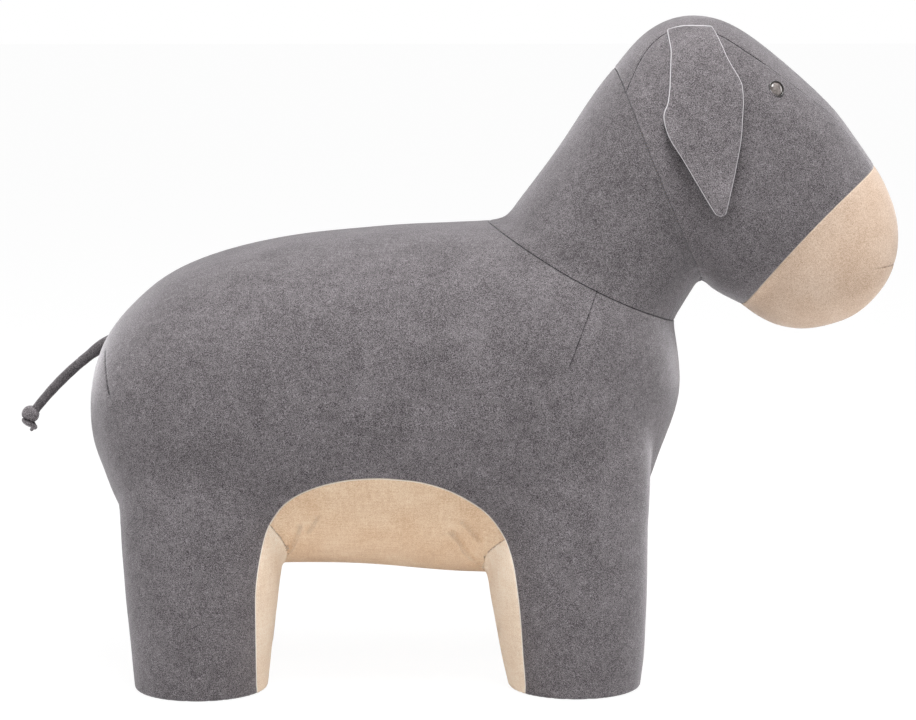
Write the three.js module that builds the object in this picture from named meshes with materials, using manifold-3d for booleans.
// An animal footstool: an upholstered donkey that a child can sit on.
// A timber frame stands inside shaped foam, and sewn covers go over the foam.
// Millimetres, +Z up, +X the way the animal faces and +Y its left side.
// The origin is on the floor, below the middle of the whole length, tail and all.

import * as THREE from 'three';
import { mergeVertices } from 'three/addons/utils/BufferGeometryUtils.js';
import Module from 'manifold-3d';

const wasm = await Module();
wasm.setup();

// Fits

const gap = 0.3; // left between two pieces that touch
const overrun = 400; // how far a cutting solid reaches past what it cuts

// Barrel of the body

const rumpReach = 396; // from the origin back to the rump
const bodyLength = 633; // rump to chest
const bodyDepth = 370; // belly to back
const bodyWidth = 366;
const bellyHeight = 113; // floor to belly
const coverThickness = 2.5; // sewn fabric with its wadding

// Rings of the body from the rump to the neck. Each has the place of its back point and of its
// belly point, as shares of the length and of the depth, its width, and how square it is.
const bodyShares = [
  [0.0, 0.468, 0.0, 0.468, 0.0, 2.1],
  [0.008, 0.576, 0.007, 0.362, 0.39, 2.1],
  [0.03, 0.67, 0.021, 0.278, 0.61, 2.1],
  [0.073, 0.759, 0.043, 0.181, 0.78, 2.1],
  [0.136, 0.849, 0.084, 0.086, 0.895, 2.2],
  [0.223, 0.914, 0.16, 0.022, 0.965, 2.2],
  [0.341, 0.959, 0.286, 0.015, 0.99, 2.25],
  [0.468, 0.982, 0.452, 0.012, 1.0, 2.25],
  [0.547, 0.992, 0.649, -0.015, 1.0, 2.25],
  [0.597, 0.995, 0.791, 0.0, 1.0, 2.25],
  [0.634, 0.998, 0.91, 0.135, 0.985, 2.25],
  [0.654, 1.0, 0.97, 0.338, 0.92, 2.15],
  [0.667, 1.001, 0.998, 0.519, 0.84, 2.1],
  [0.675, 1.002, 0.991, 0.715, 0.74, 2.1],
];
const neckRing = bodyShares.length - 1; // the ring where the neck is sewn on

// Neck and head, from the neck ring on

const neckRise = 163; // from the neck's foot up to the back of the head
const neckRun = 133; // the same, forward
const neckWidth = 250;

// Rings of the neck: its back point as shares of the run and the rise, its throat point as
// shares of the throat's own run and rise, the width and the squareness.
const throatRun = 26;
const throatRise = 50;
const neckShares = [
  [0.11, 0.035, 0.11, 0.11, 1.055, 2.1],
  [0.233, 0.14, 0.27, 0.27, 1.02, 2.1],
  [0.52, 0.47, 0.54, 0.54, 0.96, 2.1],
  [0.812, 0.804, 0.82, 0.82, 0.915, 2.15],
  [1.0, 1.0, 1.0, 1.0, 0.895, 2.2],
];

const headLength = 283; // back of the head to the end of the forehead
const crownRise = 56; // crown above the back of the head
const headDrop = 107; // the end of the forehead below the back of the head
const jawRun = 44.5; // back of the jaw to the muzzle
const jawDrop = 33;
const headWidth = 230;

// Rings of the head: forehead point along the length and above (of the rise) or below (of the
// drop) the back of the head, jaw point as shares of its run and drop, width and squareness.
const headShares = [
  [0.112, 0.591, 0.26, 0.39, 0.98, 2.3],
  [0.235, 0.941, 0.5, 0.62, 0.995, 2.5],
  [0.36, 0.98, 0.68, 0.76, 0.985, 2.6],
  [0.48, 0.736, 0.8, 0.85, 0.96, 2.6],
  [0.645, 0.141, 0.88, 0.92, 0.92, 2.5],
  [0.811, -0.314, 0.95, 0.97, 0.865, 2.4],
  [0.91, -0.642, 0.98, 0.99, 0.815, 2.3],
  [1.0, -1.0, 1.0, 1.0, 0.77, 2.2],
];

const muzzleDrop = 127; // end of the forehead down to the tip
const noseBulge = 22.5; // how far the nose swells past the end of the forehead
const chinRun = 153;
const chinDrop = 27.5;
const muzzleWidth = 176;

// Rings of the muzzle: nose point as shares of the bulge and the drop, chin point as shares of
// its run and drop, width and squareness. The last row is the tip.
const muzzleShares = [
  [0.46, 0.155, 0.11, 0.46, 0.975, 2.15],
  [0.84, 0.33, 0.26, 0.86, 0.91, 2.1],
  [1.0, 0.51, 0.44, 1.0, 0.81, 2.1],
  [0.95, 0.67, 0.63, 0.81, 0.66, 2.1],
  [0.73, 0.82, 0.8, 0.41, 0.43, 2.1],
  [0.29, 1.0, 1.0, -0.645, 0.0, 2.1],
];

const ringSides = 20;
const ringSteps = 1; // rings between two rows, the row's own counted

// Legs

const seatFoam = 111; // from the back down to the deck, where the legs also end
const rearLegInset = 121; // rump to the middle of a rear leg
const frontLegInset = 119; // chest to the middle of a front leg
const sideLegInset = 77; // side of the barrel to the middle of a leg
const rearLegLean = 2; // how far a leg leans to the belly, at the knee
const frontLegLean = 9;
const footRadius = 70;
const coverLift = 2.5; // floor to the underside of a covered foot
const footRounding = 6;

// Rings of a leg: height, lean, shift to the middle plane and the two radii, as shares of the
// leg's height, its lean, the spread and the foot's radius.
const legShares = [
  [0.105, 0.25, 0.0, 1.05, 1.03],
  [0.19, 0.55, 0.0, 1.1, 1.07],
  [0.325, 1.0, 0.0, 1.175, 1.1],
  [0.46, 1.0, 0.02, 1.215, 1.11],
  [0.61, 0.9, 0.07, 1.235, 1.09],
  [0.77, 0.6, 0.14, 1.16, 0.98],
  [0.93, 0.4, 0.2, 0.7, 0.6],
  [1.0, 0.3, 0.2, 0.0, 0.0],
];
const footShares = [
  [0.0, 0.87],
  [0.28, 0.95],
  [1.0, 1.0],
];
const legSides = 16;
const turnedSides = 16; // sides of a turned disc

// Underside lining

const archRearInset = 60; // middle of a rear leg to the arch's seam at its foot
const archFrontInset = 53.5;
const archRise = 119; // belly to the top of the arch
const archShares = [
  [0.0, 0.0],
  [0.0, 0.34],
  [0.004, 0.52],
  [0.026, 0.71],
  [0.055, 0.805],
  [0.11, 0.89],
  [0.207, 0.95],
  [0.32, 0.988],
  [0.435, 1.0],
  [0.508, 0.997],
  [0.621, 0.979],
  [0.734, 0.931],
  [0.847, 0.84],
  [0.915, 0.728],
  [0.945, 0.635],
  [0.96, 0.543],
  [0.976, 0.386],
  [0.988, 0.199],
  [1.0, 0.0],
];
const insetRearReach = 47; // the lining behind the middle of the rear legs
const insetFrontReach = 48;
const insetRise = 77; // above the belly
const insetSide = 52; // side of that lining to the middle of a leg

// Crown gusset

const gussetWidth = 112;
const gussetTaper = 34; // its half width at the muzzle

// Timber frame

const postSize = 40;
const boardThickness = 18;
const railDepth = 80;
const deckThickness = 12;
const deckRearReach = 20; // the deck behind the middle of the rear legs
const deckFrontReach = 28;
const deckSideReach = 9;
const footBoardRadius = 57;
const footBoardThickness = 12;
const soleRadius = 50;
const glideRadius = 20;
const glideNailRadius = 2;
const glideNailDepth = 9;
const neckBoardFoot = 86; // length of the neck board along the deck
const neckBoardInset = 52; // its rear edge behind the middle of the front legs
const neckBoardDrop = 47; // its top below the back of the head
const neckBoardLead = 40; // its top's rear edge ahead of the back of the head
const neckBoardShoulder = 40; // the upright end of its front edge
const cleatSize = 34;
const screwShankRadius = 3;
const screwHeadRadius = 6;
const screwHeadHeight = 3.5;
const screwLength = 46;

// Ears

const earThickness = 6;
const earClearance = 0.5; // between a resting ear and the head
const earRise = 46.5; // middle of the sewn edge above the back of the head
const earSeamDip = 4; // how far the ends of the sewn edge lie below its middle
const earSetback = 55; // back of the head to the sewn edge
const earSeamLength = 43.5;
const earLength = 193.7;
const earSeamHalf = 40; // from the middle plane to the sewn edge, at the least
const earFlare = 12; // how far its tip stands off, past the widest part of the head

// Outline of an ear from its sewn edge down: share of its length, then its rear edge and its
// front edge as shares of the sewn edge's width.
const earShares = [
  [0.0, 0.0, 1.0],
  [0.06, -0.01, 1.1],
  [0.18, -0.05, 1.3],
  [0.28, -0.1, 1.55],
  [0.33, -0.12, 1.62],
  [0.415, -0.17, 1.63],
  [0.475, -0.26, 1.61],
  [0.525, -0.25, 1.59],
  [0.59, -0.14, 1.55],
  [0.7, 0.15, 1.46],
  [0.82, 0.46, 1.34],
  [0.93, 0.74, 1.22],
  [1.0, 0.93, 1.13],
];
const earColumns = 5;

// Eyes

const eyeRun = 163; // ahead of the back of the head
const eyeDrop = 20; // below it
const eyeRadius = 8.6;
const eyeHeight = 4.6;
const eyeSides = 12;
const eyeDomeTurn = Math.PI / 6; // between two rings of the dome
const eyeStemRadius = 2;
const eyeStemLength = 12;
const washerRadius = 8;
const washerThickness = 1.6;

// Tail

const tailRadius = 5.8;
const tailRootLength = 22; // the part that is sewn to the body
const tailReach = 66.5; // from its root back to its knot
const tailDrop = 64.1;
const tailRootShare = 0.625; // height of its root, as a share of the body's depth
const tailSag = 3.2; // how far its middle lies above a straight line
const tailPlay = 0.5; // room for the tail to bend at its root
const tailSides = 10;
const knotRadius = 10.2;
const knotTailLength = 11;
const tailTipRadius = 4.6;
const tailRootSteps = 3;
const tailSteps = 6;

// Colours and finishes

const finishes = {
  suede: { color: 0x6e6a6d, roughness: 0.95, metalness: 0 },
  lining: { color: 0xe0c8b2, roughness: 0.95, metalness: 0 },
  foam: { color: 0xe8dfb8, roughness: 0.9, metalness: 0 },
  timber: { color: 0xc8a271, roughness: 0.7, metalness: 0 },
  plywood: { color: 0xd3b487, roughness: 0.7, metalness: 0 },
  zinc: { color: 0xb9bcc0, roughness: 0.35, metalness: 0.9 },
  glide: { color: 0x2b2b2d, roughness: 0.6, metalness: 0 },
  dustCloth: { color: 0x2f2f31, roughness: 0.95, metalness: 0 },
  button: { color: 0x1b1716, roughness: 0.15, metalness: 0 },
};

// Solids

const stool = new THREE.Group();

function bare(geometry) {
  const plain = geometry.clone();
  for (const name of ['normal', 'uv', 'color']) plain.deleteAttribute(name);
  return mergeVertices(plain);
}

function solid(geometry) {
  const plain = bare(geometry);
  return new wasm.Manifold(
    new wasm.Mesh({
      numProp: 3,
      vertProperties: new Float32Array(plain.attributes.position.array),
      triVerts: new Uint32Array(plain.index.array),
    }),
  );
}

function shape(manifold) {
  const mesh = manifold.getMesh();
  const geometry = new THREE.BufferGeometry();
  geometry.setAttribute('position', new THREE.BufferAttribute(mesh.vertProperties, 3));
  geometry.setIndex(new THREE.BufferAttribute(mesh.triVerts, 1));
  geometry.computeVertexNormals();
  return geometry;
}

function largest(manifold) {
  const bodies = manifold.decompose();
  return bodies.reduce((best, body) => (body.volume() > best.volume() ? body : best));
}

function add(name, finish, form) {
  const geometry = form instanceof THREE.BufferGeometry ? form : shape(largest(form));
  const mesh = new THREE.Mesh(geometry, new THREE.MeshStandardMaterial(finishes[finish]));
  mesh.name = name;
  stool.add(mesh);
  return mesh;
}

function block(lower, upper, grow = 0) {
  const low = new THREE.Vector3(...lower).subScalar(grow);
  const size = new THREE.Vector3(...upper).addScalar(grow).sub(low);
  const box = new THREE.BoxGeometry(size.x, size.y, size.z);
  return box.translate(low.x + size.x / 2, low.y + size.y / 2, low.z + size.z / 2);
}

// A closed skin through rings of points, with its first and last ring shrunk to a point.
function skin(rings) {
  const sides = rings[1].length;
  const points = [rings[0][0], ...rings.slice(1, -1).flat(), rings.at(-1)[0]];
  const faces = [];
  const at = (ring, side) => 1 + ring * sides + (side % sides);
  const last = rings.length - 3;
  for (let side = 0; side < sides; side++) {
    faces.push(0, at(0, side + 1), at(0, side));
    faces.push(points.length - 1, at(last, side), at(last, side + 1));
    for (let ring = 0; ring < last; ring++) {
      faces.push(at(ring, side), at(ring, side + 1), at(ring + 1, side));
      faces.push(at(ring, side + 1), at(ring + 1, side + 1), at(ring + 1, side));
    }
  }
  const geometry = new THREE.BufferGeometry().setFromPoints(points);
  geometry.setIndex(faces);
  geometry.computeVertexNormals();
  return geometry;
}

// The same skin, moved inwards by a distance.
function inset(geometry, distance) {
  const moved = geometry.clone();
  const place = moved.attributes.position;
  const normal = geometry.attributes.normal;
  for (let i = 0; i < place.count; i++) {
    const point = new THREE.Vector3().fromBufferAttribute(place, i);
    point.addScaledVector(new THREE.Vector3().fromBufferAttribute(normal, i), -distance);
    place.setXYZ(i, point.x, point.y, point.z);
  }
  return moved;
}

function bent(value, power) {
  return Math.sign(value) * Math.abs(value) ** power;
}

// Rows of numbers, with smooth rows between them.
function between(rows, steps) {
  const found = [];
  for (let i = 0; i < rows.length - 1; i++) {
    const [a, b, c, d] = [rows[Math.max(i - 1, 0)], rows[i], rows[i + 1], rows[i + 2] ?? rows[i + 1]];
    for (let step = 0; step < steps; step++) {
      const t = step / steps;
      found.push(
        b.map((value, k) => {
          const slopes = [(c[k] - a[k]) / 2, (d[k] - value) / 2];
          return (
            (2 * t ** 3 - 3 * t ** 2 + 1) * value +
            (t ** 3 - 2 * t ** 2 + t) * slopes[0] +
            (3 * t ** 2 - 2 * t ** 3) * c[k] +
            (t ** 3 - t ** 2) * slopes[1]
          );
        }),
      );
    }
  }
  return [...found, rows.at(-1)];
}

// Body, neck and head as one form, from which the pieces are cut

const rump = new THREE.Vector2(-rumpReach, bellyHeight);

function bodyRow([backX, backZ, bellyX, bellyZ, width, square]) {
  return [
    rump.x + backX * bodyLength,
    rump.y + backZ * bodyDepth,
    rump.x + bellyX * bodyLength,
    rump.y + bellyZ * bodyDepth,
    (width * bodyWidth) / 2,
    square,
  ];
}

const neckFoot = bodyRow(bodyShares[neckRing]);

function neckRow([backX, backZ, throatX, throatZ, width, square]) {
  return [
    neckFoot[0] + backX * neckRun,
    neckFoot[1] + backZ * neckRise,
    neckFoot[2] + throatX * throatRun,
    neckFoot[3] + throatZ * throatRise,
    (width * neckWidth) / 2,
    square,
  ];
}

const nape = neckRow(neckShares.at(-1));

function headRow([along, up, jawX, jawZ, width, square]) {
  return [
    nape[0] + along * headLength,
    nape[1] + up * (up > 0 ? crownRise : headDrop),
    nape[2] + jawX * jawRun,
    nape[3] - jawZ * jawDrop,
    (width * headWidth) / 2,
    square,
  ];
}

const noseSeam = headRow(headShares.at(-1));

function muzzleRow([bulge, down, chinX, chinZ, width, square]) {
  return [
    noseSeam[0] + bulge * noseBulge,
    noseSeam[1] - down * muzzleDrop,
    noseSeam[2] + chinX * chinRun,
    noseSeam[3] - chinZ * chinDrop,
    (width * muzzleWidth) / 2,
    square,
  ];
}

function ring([topX, topZ, lowX, lowZ, halfWidth, square]) {
  const top = new THREE.Vector3(topX, 0, topZ);
  const low = new THREE.Vector3(lowX, 0, lowZ);
  const middle = top.clone().add(low).divideScalar(2);
  const half = top.sub(low).divideScalar(2);
  return Array.from({ length: ringSides }, (_, side) => {
    const turn = (2 * Math.PI * side) / ringSides;
    const point = middle.clone().addScaledVector(half, bent(Math.cos(turn), 2 / square));
    point.y = -halfWidth * bent(Math.sin(turn), 2 / square);
    return point;
  });
}

const rows = [
  ...bodyShares.map(bodyRow),
  ...neckShares.map(neckRow),
  ...headShares.map(headRow),
  ...muzzleShares.map(muzzleRow),
];
const animal = skin(between(rows, ringSteps).map(ring));

// A seam plane through a ring, facing the muzzle.
function seamPlane([topX, topZ, lowX, lowZ]) {
  const along = new THREE.Vector3(topX - lowX, 0, topZ - lowZ).normalize();
  const normal = new THREE.Vector3(along.z, 0, -along.x);
  return { normal, offset: normal.dot(new THREE.Vector3(topX, 0, topZ)) };
}

const neckSeam = seamPlane(neckFoot);
const headSeam = seamPlane(nape);
const muzzleSeam = seamPlane(noseSeam);

function ahead(form, { normal, offset }) {
  return form.trimByPlane(normal.toArray(), offset + gap / 2);
}

function behind(form, { normal, offset }) {
  return form.trimByPlane(normal.clone().negate().toArray(), gap / 2 - offset);
}

// Legs

const legSpread = bodyWidth / 2 - sideLegInset;
const rearLegPlace = rearLegInset - rumpReach;
const frontLegPlace = bodyLength - rumpReach - frontLegInset;
const deckTop = bellyHeight + bodyDepth - seatFoam;
const legHeight = deckTop;

const legs = [
  ['rear_left', rearLegPlace, rearLegLean, 1],
  ['rear_right', rearLegPlace, rearLegLean, -1],
  ['front_left', frontLegPlace, frontLegLean, 1],
  ['front_right', frontLegPlace, frontLegLean, -1],
].map(([name, place, lean, side]) => ({ name, place, lean, side }));
const bellyMiddle = (rearLegPlace + frontLegPlace) / 2;

function legForm({ place, lean, side }) {
  const toBelly = Math.sign(bellyMiddle - place);
  const circle = (height, x, y, radiusX, radiusY) =>
    Array.from({ length: legSides }, (_, i) => {
      const turn = (2 * Math.PI * i) / legSides;
      return new THREE.Vector3(x + radiusX * Math.cos(turn), y + radiusY * Math.sin(turn), height);
    });
  const foot = footShares.map(([up, wide]) => {
    const radius = wide * footRadius;
    return circle(coverLift + up * footRounding, place, side * legSpread, radius, radius);
  });
  const shaft = legShares.map(([up, leaned, inward, wideX, wideY]) =>
    circle(
      up * legHeight,
      place + leaned * lean * toBelly,
      side * legSpread * (1 - inward),
      wideX * footRadius,
      wideY * footRadius,
    ),
  );
  return skin([circle(coverLift, place, side * legSpread, 0, 0), ...foot, ...shaft]);
}

for (const leg of legs) leg.form = legForm(leg);

// Seam outlines on the underside

function prism(points, halfWidth) {
  const outline = new THREE.Shape(points.map(([x, z]) => new THREE.Vector2(x, z)));
  const body = new THREE.ExtrudeGeometry(outline, { depth: 2 * halfWidth, bevelEnabled: false });
  return solid(body.rotateX(Math.PI / 2).translate(0, halfWidth, 0));
}

// The lining's region, drawn in by a margin on both sides of its seam.
function liningRegion(margin) {
  const archRearFoot = rearLegPlace + archRearInset;
  const archFrontFoot = frontLegPlace - archFrontInset;
  const span = archFrontFoot - archRearFoot;
  const arch = archShares.map(([along, up]) => [
    archRearFoot + along * span + (0.5 - along) * 2 * margin,
    up * (bellyHeight + archRise - margin),
  ]);
  const below = [
    [archFrontFoot - margin, -overrun],
    [archRearFoot + margin, -overrun],
  ];
  const insetRear = rearLegPlace - insetRearReach + margin;
  const insetFront = frontLegPlace + insetFrontReach - margin;
  const insetTop = bellyHeight + insetRise - margin;
  const inner = [
    [insetRear, -overrun],
    [insetRear, insetTop],
    [insetFront, insetTop],
    [insetFront, -overrun],
  ];
  return prism([...arch, ...below], bodyWidth).add(prism(inner, legSpread - insetSide - margin));
}

// Covers: the skin of the body and legs, cut along its seams

const legForms = legs.map((leg) => solid(leg.form));
const outside = behind(solid(animal), neckSeam);
const bodyOutside = legForms.reduce((form, leg) => form.add(leg), outside);
const coverInside = (geometry) => solid(inset(geometry, coverThickness));
const bodyInside = legs.reduce(
  (form, leg) => form.add(coverInside(leg.form)),
  behind(coverInside(animal), neckSeam),
);
const soleHole = legs.map(({ place, side }) => {
  const hole = new THREE.CylinderGeometry(soleRadius + gap, soleRadius + gap, overrun, turnedSides);
  return solid(hole.rotateX(Math.PI / 2).translate(place, side * legSpread, footRounding - overrun / 2));
});
const bodyCover = soleHole.reduce((form, hole) => form.subtract(hole), bodyOutside.subtract(bodyInside));
const flank = bodyCover.subtract(liningRegion(-gap / 2));
const lining = bodyCover.intersect(liningRegion(gap / 2));

add('flank_cover_left', 'suede', flank.trimByPlane([0, 1, 0], gap / 2));
add('flank_cover_right', 'suede', flank.trimByPlane([0, -1, 0], gap / 2));
const legsSwollen = legs.map((leg) => solid(inset(leg.form, -gap)));
add('belly_lining', 'lining', legsSwollen.reduce((form, leg) => form.subtract(leg), lining));
legs.forEach(({ name }, i) => add(`leg_lining_${name}`, 'lining', lining.intersect(legForms[i])));

const upper = ahead(solid(animal), neckSeam).subtract(coverInside(animal));
const neckCover = behind(upper, headSeam);
add('neck_cover_left', 'suede', neckCover.trimByPlane([0, 1, 0], gap / 2));
add('neck_cover_right', 'suede', neckCover.trimByPlane([0, -1, 0], gap / 2));

// What sits on the covers is cut by the first of these, and what lies under them by the second
const seat = solid(inset(animal, -gap));
const foamInside = (geometry) => solid(inset(geometry, coverThickness + gap));
const foam = foamInside(animal);

// Eyes: a domed button on a stem, held by a washer behind the cover

const animalMesh = new THREE.Mesh(animal, new THREE.MeshBasicMaterial({ side: THREE.DoubleSide }));

// The outermost point of the animal's side at a place on its middle plane, and its normal.
function onSide(x, z, side) {
  const from = new THREE.Vector3(x, side * overrun, z);
  const ray = new THREE.Raycaster(from, new THREE.Vector3(0, -side, 0));
  return ray.intersectObject(animalMesh)[0];
}

function eyeTool(side, profile) {
  const { point, face } = onSide(nape[0] + eyeRun, nape[1] - eyeDrop, side);
  const lathe = new THREE.LatheGeometry(profile.map(([r, y]) => new THREE.Vector2(r, y)), eyeSides);
  lathe.applyQuaternion(new THREE.Quaternion().setFromUnitVectors(new THREE.Vector3(0, 1, 0), face.normal));
  return lathe.translate(point.x, point.y, point.z);
}

const rim = eyeHeight / 3;
const domeProfile = [
  [0, -rim],
  [eyeRadius, -rim],
  [eyeRadius, rim],
  ...[eyeDomeTurn, 2 * eyeDomeTurn].map((turn) => [
    eyeRadius * Math.cos(turn),
    rim + (eyeHeight - rim) * Math.sin(turn),
  ]),
  [0, eyeHeight],
];
const stemProfile = [
  [0, -eyeStemLength],
  [eyeStemRadius, -eyeStemLength],
  [eyeStemRadius, rim],
  [0, rim],
];
const stemHoleRadius = eyeStemRadius + gap;
const stemHoleProfile = [
  [0, -eyeStemLength - gap],
  [stemHoleRadius, -eyeStemLength - gap],
  [stemHoleRadius, eyeHeight],
  [0, eyeHeight],
];
const washerDepth = coverThickness + 2 * gap;
const washerProfile = [
  [stemHoleRadius, -washerDepth - washerThickness],
  [washerRadius, -washerDepth - washerThickness],
  [washerRadius, -washerDepth],
  [stemHoleRadius, -washerDepth],
  [stemHoleRadius, -washerDepth - washerThickness],
];
const washerRoomProfile = [
  [0, -washerDepth - washerThickness - gap],
  [washerRadius + gap, -washerDepth - washerThickness - gap],
  [washerRadius + gap, eyeHeight],
  [0, eyeHeight],
];
const sides = [
  ['left', 1],
  ['right', -1],
];
const stemHoles = sides.map(([, side]) => solid(eyeTool(side, stemHoleProfile)));
const washerRooms = sides.map(([, side]) => solid(eyeTool(side, washerRoomProfile)));
for (const [name, side] of sides) {
  const dome = solid(eyeTool(side, domeProfile)).subtract(seat);
  add(`eye_button_${name}`, 'button', dome.add(solid(eyeTool(side, stemProfile))));
  add(`eye_washer_${name}`, 'zinc', solid(eyeTool(side, washerProfile)).intersect(foam));
}

// Head covers: two sides, a gusset over the crown and the muzzle

function gussetRegion(margin) {
  const half = gussetWidth / 2 - margin;
  const front = gussetTaper - margin;
  const outline = new THREE.Shape([
    new THREE.Vector2(nape[0] - overrun, half),
    new THREE.Vector2(nape[0] - overrun, -half),
    new THREE.Vector2((nape[0] + noseSeam[0]) / 2, -half),
    new THREE.Vector2(noseSeam[0], -front),
    new THREE.Vector2(noseSeam[0] + overrun, -front),
    new THREE.Vector2(noseSeam[0] + overrun, front),
    new THREE.Vector2(noseSeam[0], front),
    new THREE.Vector2((nape[0] + noseSeam[0]) / 2, half),
  ]);
  const body = new THREE.ExtrudeGeometry(outline, { depth: 2 * overrun, bevelEnabled: false });
  const middle = [nape, noseSeam].map(([a, b, c, d]) => new THREE.Vector3((a + c) / 2, 0, (b + d) / 2));
  const along = seamPlane([middle[0].x, middle[0].z, middle[1].x, middle[1].z]);
  return solid(body).trimByPlane(along.normal.toArray(), along.offset);
}

const headCover = stemHoles.reduce(
  (form, hole) => form.subtract(hole),
  behind(ahead(upper, headSeam), muzzleSeam),
);
const cheeks = headCover.subtract(gussetRegion(-gap / 2));
add('head_cover_left', 'suede', cheeks.trimByPlane([0, 1, 0], gap / 2));
add('head_cover_right', 'suede', cheeks.trimByPlane([0, -1, 0], gap / 2));
add('crown_gusset', 'suede', headCover.intersect(gussetRegion(gap / 2)));
add('muzzle_cover', 'lining', ahead(ahead(upper, headSeam), muzzleSeam));

// Timber frame, with the hollow that each piece leaves in the foam

const frame = [];
const deckUnder = deckTop - deckThickness;
const railTop = deckUnder - gap;
const railLow = railTop - railDepth;
const soleTop = coverLift + coverThickness;
const footBoardLow = soleTop + gap;
const footBoardTop = footBoardLow + footBoardThickness;
const railOuter = legSpread - postSize / 2 - gap;
const railInner = railOuter - boardThickness;

function timber(name, finish, lower, upper, holes = []) {
  frame.push(solid(block(lower, upper, gap)));
  const form = holes.reduce((body, hole) => body.subtract(hole), solid(block(lower, upper)));
  add(name, finish, form);
}

const screwProfile = [
  [0, -screwLength],
  [screwShankRadius, -screwLength + screwShankRadius],
  [screwShankRadius, 0],
  [screwHeadRadius, 0],
  [screwHeadRadius, screwHeadHeight],
  [0, screwHeadHeight],
];
const screwHoleRadius = screwShankRadius + gap;
const screwHoleProfile = [
  [0, -screwLength - gap],
  [screwHoleRadius, -screwLength - gap],
  [screwHoleRadius, overrun],
  [0, overrun],
];
const screwRoomProfile = [
  [0, -screwLength / 2],
  [screwHeadRadius + gap, -screwLength / 2],
  [screwHeadRadius + gap, screwHeadHeight + gap + gap],
  [0, screwHeadHeight + gap + gap],
];

function screwTool({ place, side }, profile) {
  const lathe = new THREE.LatheGeometry(profile.map(([r, y]) => new THREE.Vector2(r, y)), tailSides);
  if (side > 0) lathe.rotateZ(Math.PI);
  return lathe.translate(place, side * (railInner - gap), railLow + railDepth / 2);
}

for (const leg of legs) {
  const { name, place, side } = leg;
  const hole = solid(screwTool(leg, screwHoleProfile));
  const y = [side * legSpread - postSize / 2, side * legSpread + postSize / 2];
  const x = [place - postSize / 2, place + postSize / 2];
  timber(`leg_post_${name}`, 'timber', [x[0], y[0], footBoardTop + gap], [x[1], y[1], railTop], [hole]);
  frame.push(solid(screwTool(leg, screwRoomProfile)));
  add(`post_screw_${name}`, 'zinc', screwTool(leg, screwProfile));
}
for (const [name, side] of sides) {
  const y = [side * railInner, side * railOuter].sort((a, b) => a - b);
  const x = [rearLegPlace - postSize / 2, frontLegPlace + postSize / 2];
  const holes = legs.filter((leg) => leg.side === side).map((leg) => solid(screwTool(leg, screwHoleProfile)));
  timber(`side_rail_${name}`, 'plywood', [x[0], y[0], railLow], [x[1], y[1], railTop], holes);
}
for (const [name, place, step] of [
  ['rear', rearLegPlace, 1],
  ['front', frontLegPlace, -1],
]) {
  const inner = place + step * (screwHeadRadius + postSize / 2);
  const x = [inner, inner + step * boardThickness].sort((a, b) => a - b);
  const half = railInner - gap;
  timber(`cross_rail_${name}`, 'plywood', [x[0], -half, railLow], [x[1], half, railTop]);
}
const deckHalf = legSpread + deckSideReach;
const deckRear = rearLegPlace - deckRearReach;
const deckFront = frontLegPlace + deckFrontReach;
timber('seat_deck', 'plywood', [deckRear, -deckHalf, deckUnder], [deckFront, deckHalf, deckTop]);

const neckBoardPlace = frontLegPlace - neckBoardInset;

function neckBoard(margin) {
  const foot = deckTop + gap;
  const top = nape[1] - neckBoardDrop;
  const lean = nape[0] + neckBoardLead - neckBoardPlace;
  const [rear, front] = [neckBoardPlace - margin, neckBoardPlace + neckBoardFoot + margin];
  const outline = [
    [rear, foot - margin],
    [front, foot - margin],
    [front + lean, top - neckBoardShoulder],
    [front + lean, top + margin],
    [rear + lean, top + margin],
  ];
  return prism(outline, boardThickness / 2 + margin);
}

frame.push(neckBoard(gap));
add('neck_board', 'plywood', neckBoard(0));
for (const [name, side] of sides) {
  const y = [side * (boardThickness / 2 + gap), side * (boardThickness / 2 + gap + cleatSize)];
  y.sort((a, b) => a - b);
  const [low, x] = [deckTop + gap, neckBoardPlace];
  timber(`neck_cleat_${name}`, 'timber', [x, y[0], low], [x + neckBoardFoot, y[1], low + cleatSize]);
}

// Feet: a round board, the cloth under it and a glide on a nail

for (const { name, place, side } of legs) {
  const y = side * legSpread;
  const nailTop = soleTop + gap + glideNailDepth;
  const glideTop = coverLift - gap;
  const turned = (profile) => {
    const lathe = new THREE.LatheGeometry(profile.map(([r, z]) => new THREE.Vector2(r, z)), turnedSides);
    return lathe.rotateX(Math.PI / 2).translate(place, y, 0);
  };
  const nailHole = glideNailRadius + gap;
  const board = turned([
    [0, nailTop + gap],
    [nailHole, nailTop + gap],
    [nailHole, footBoardLow],
    [footBoardRadius, footBoardLow],
    [footBoardRadius, footBoardTop],
    [0, footBoardTop],
  ]);
  add(`foot_board_${name}`, 'plywood', board);
  const room = footBoardRadius + gap;
  frame.push(
    solid(
      turned([
        [0, -overrun],
        [room, -overrun],
        [room, footBoardTop + gap],
        [0, footBoardTop + gap],
      ]),
    ),
  );
  const sole = turned([
    [nailHole, coverLift],
    [soleRadius, coverLift],
    [soleRadius, soleTop],
    [nailHole, soleTop],
    [nailHole, coverLift],
  ]);
  add(`foot_sole_${name}`, 'dustCloth', sole);
  const glide = turned([
    [0, 0],
    [glideRadius - glideTop / 2, 0],
    [glideRadius, glideTop / 2],
    [glideRadius, glideTop],
    [glideNailRadius, glideTop],
    [glideNailRadius, nailTop],
    [0, nailTop],
  ]);
  add(`glide_${name}`, 'glide', glide);
}

// Foam, in the pieces that it is cut and glued from

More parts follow.
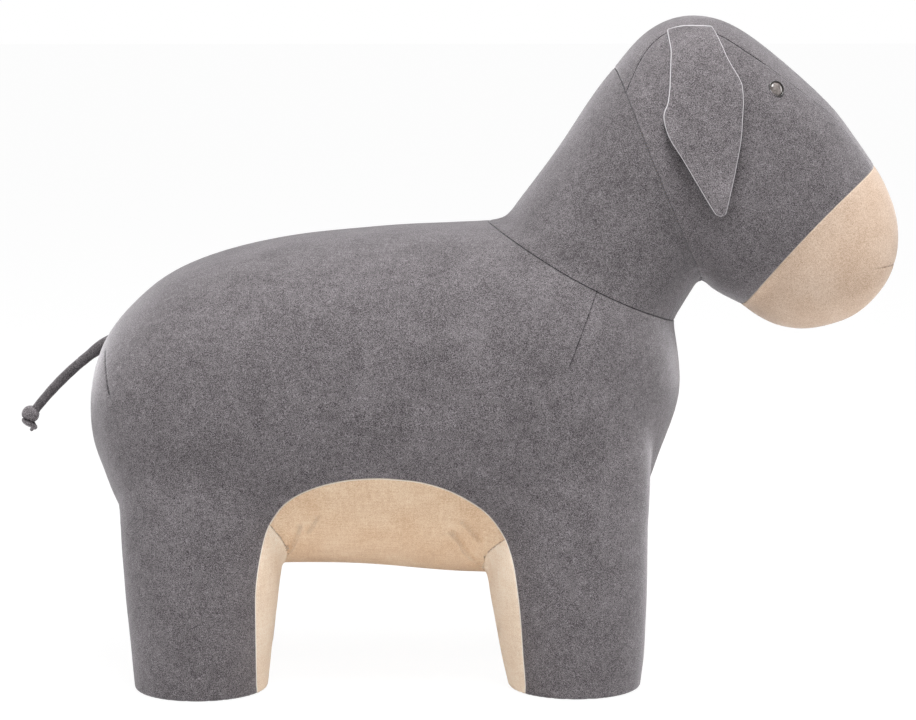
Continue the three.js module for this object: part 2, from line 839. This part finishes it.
const hollowed = (form) => frame.reduce((body, piece) => body.subtract(piece), form);
const bodyFoam = behind(foam, neckSeam);
add('body_foam', 'foam', hollowed(bodyFoam));
const bodySwollen = solid(inset(animal, coverThickness));
for (const { name, form } of legs) {
  add(`leg_foam_${name}`, 'foam', hollowed(foamInside(form).subtract(bodySwollen)));
}
add('neck_foam', 'foam', hollowed(behind(ahead(foam, neckSeam), headSeam)));
const headFoam = behind(ahead(foam, headSeam), muzzleSeam);
const eyeRooms = [...washerRooms, ...stemHoles];
add('head_foam', 'foam', hollowed(eyeRooms.reduce((form, room) => form.subtract(room), headFoam)));
add('muzzle_foam', 'foam', ahead(ahead(foam, headSeam), muzzleSeam));

// Ears: thin flaps that hang from the crown over the sides of the head

function earForm(side) {
  const [earRear, earTop] = [nape[0] + earSetback, nape[1] + earRise];
  const layers = [earClearance, earClearance + earThickness].map((off) => {
    const reach = [];
    return earShares.map(([down, rear, front], row) => {
      return Array.from({ length: earColumns }, (_, column) => {
        const share = column / (earColumns - 1);
        const dip = earSeamDip * (2 * share - 1) ** 2 * (1 - down);
        const z = earTop - down * earLength - dip;
        const x = earRear + earSeamLength * (rear + (front - rear) * share);
        const hit = onSide(x, z, side);
        const here = hit ? Math.abs(hit.point.y) : 0;
        reach[column] = Math.max(reach[column] ?? earSeamHalf, here);
        const edge = row === 0 || row === earShares.length - 1 || column % (earColumns - 1) === 0;
        const thin = edge && off > earClearance ? earThickness / 2 : 0;
        const flare = earFlare * down ** 2;
        return new THREE.Vector3(x, side * (reach[column] + flare + off - thin), z);
      });
    });
  });
  const points = layers.flat(2);
  const count = earShares.length * earColumns;
  const at = (layer, row, column) => layer * count + row * earColumns + column;
  const faces = [];
  const quad = (a, b, c, d) => faces.push(a, b, c, a, c, d);
  for (let row = 0; row < earShares.length - 1; row++) {
    for (let column = 0; column < earColumns - 1; column++) {
      quad(at(1, row, column), at(1, row + 1, column), at(1, row + 1, column + 1), at(1, row, column + 1));
      quad(at(0, row, column), at(0, row, column + 1), at(0, row + 1, column + 1), at(0, row + 1, column));
    }
    const end = earColumns - 1;
    quad(at(0, row, 0), at(0, row + 1, 0), at(1, row + 1, 0), at(1, row, 0));
    quad(at(1, row, end), at(1, row + 1, end), at(0, row + 1, end), at(0, row, end));
  }
  const foot = earShares.length - 1;
  for (let column = 0; column < earColumns - 1; column++) {
    quad(at(1, 0, column), at(1, 0, column + 1), at(0, 0, column + 1), at(0, 0, column));
    quad(at(0, foot, column), at(0, foot, column + 1), at(1, foot, column + 1), at(1, foot, column));
  }
  if (side > 0) faces.reverse();
  const geometry = new THREE.BufferGeometry().setFromPoints(points);
  geometry.setIndex(faces);
  return geometry;
}

const earSeat = solid(inset(animal, -earClearance));
for (const [name, side] of sides) add(`ear_${name}`, 'suede', solid(earForm(side)).subtract(earSeat));

// Tail: a stuffed strand in two lengths, with a knot at its end

const rumpRay = new THREE.Raycaster(
  new THREE.Vector3(-rumpReach - overrun, 0, bellyHeight + tailRootShare * bodyDepth),
  new THREE.Vector3(1, 0, 0),
);
const tailSeat = rumpRay.intersectObject(animalMesh)[0];
const tailStart = tailSeat.point.clone().addScaledVector(tailSeat.face.normal, tailRadius + tailPlay);
tailStart.y = 0;
const tailRun = new THREE.Vector3(-tailReach, 0, -tailDrop);
const tailEnd = tailStart.clone().add(tailRun);
const tailLength = tailRun.length();
const tailAlong = tailRun.clone().normalize();
const tailUp = new THREE.Vector3(tailAlong.z, 0, -tailAlong.x);

function tailPoint(share) {
  const point = tailStart.clone().addScaledVector(tailRun, share);
  return point.addScaledVector(tailUp, 4 * share * (1 - share) * tailSag);
}

// A length of the tail whose first end is round, so that it can bend there.
function tailPiece(from, to, steps) {
  const points = Array.from({ length: steps + 1 }, (_, i) => tailPoint(from + ((to - from) * i) / steps));
  const section = new THREE.Shape(
    Array.from({ length: tailSides }, (_, i) => {
      const turn = (2 * Math.PI * i) / tailSides;
      return new THREE.Vector2(tailRadius * Math.cos(turn), tailRadius * Math.sin(turn));
    }),
  );
  const path = new THREE.CatmullRomCurve3(points);
  const tube = new THREE.ExtrudeGeometry(section, { steps, bevelEnabled: false, extrudePath: path });
  const end = new THREE.SphereGeometry(tailRadius, tailSides, tailSides / 2);
  return solid(tube).add(solid(end.translate(points[0].x, points[0].y, points[0].z)));
}

const bendShare = tailRootLength / tailLength;
const rootEndShare = (tailRootLength - tailRadius - tailPlay) / tailLength;
add('tail_root', 'suede', tailPiece(0, rootEndShare, tailRootSteps));
add('tail_strand', 'suede', tailPiece(bendShare, 1, tailSteps));
const knotCentre = tailEnd.clone().addScaledVector(tailAlong, knotRadius + gap);
const knot = new THREE.SphereGeometry(knotRadius, tailSides + 2, tailSides - 2);
const stub = new THREE.CylinderGeometry(tailTipRadius, tailTipRadius, knotTailLength + knotRadius, tailSides);
stub.rotateX(Math.PI / 2).translate(0, 0, -(knotTailLength + knotRadius) / 2);
add('tail_knot', 'suede', solid(knot).add(solid(stub)).translate(knotCentre.toArray()));

// The middle of the whole length stands over the origin.
const extent = new THREE.Box3().setFromObject(stool);
stool.position.x = -(extent.min.x + extent.max.x) / 2;
stool.updateMatrixWorld(true);

export default stool;
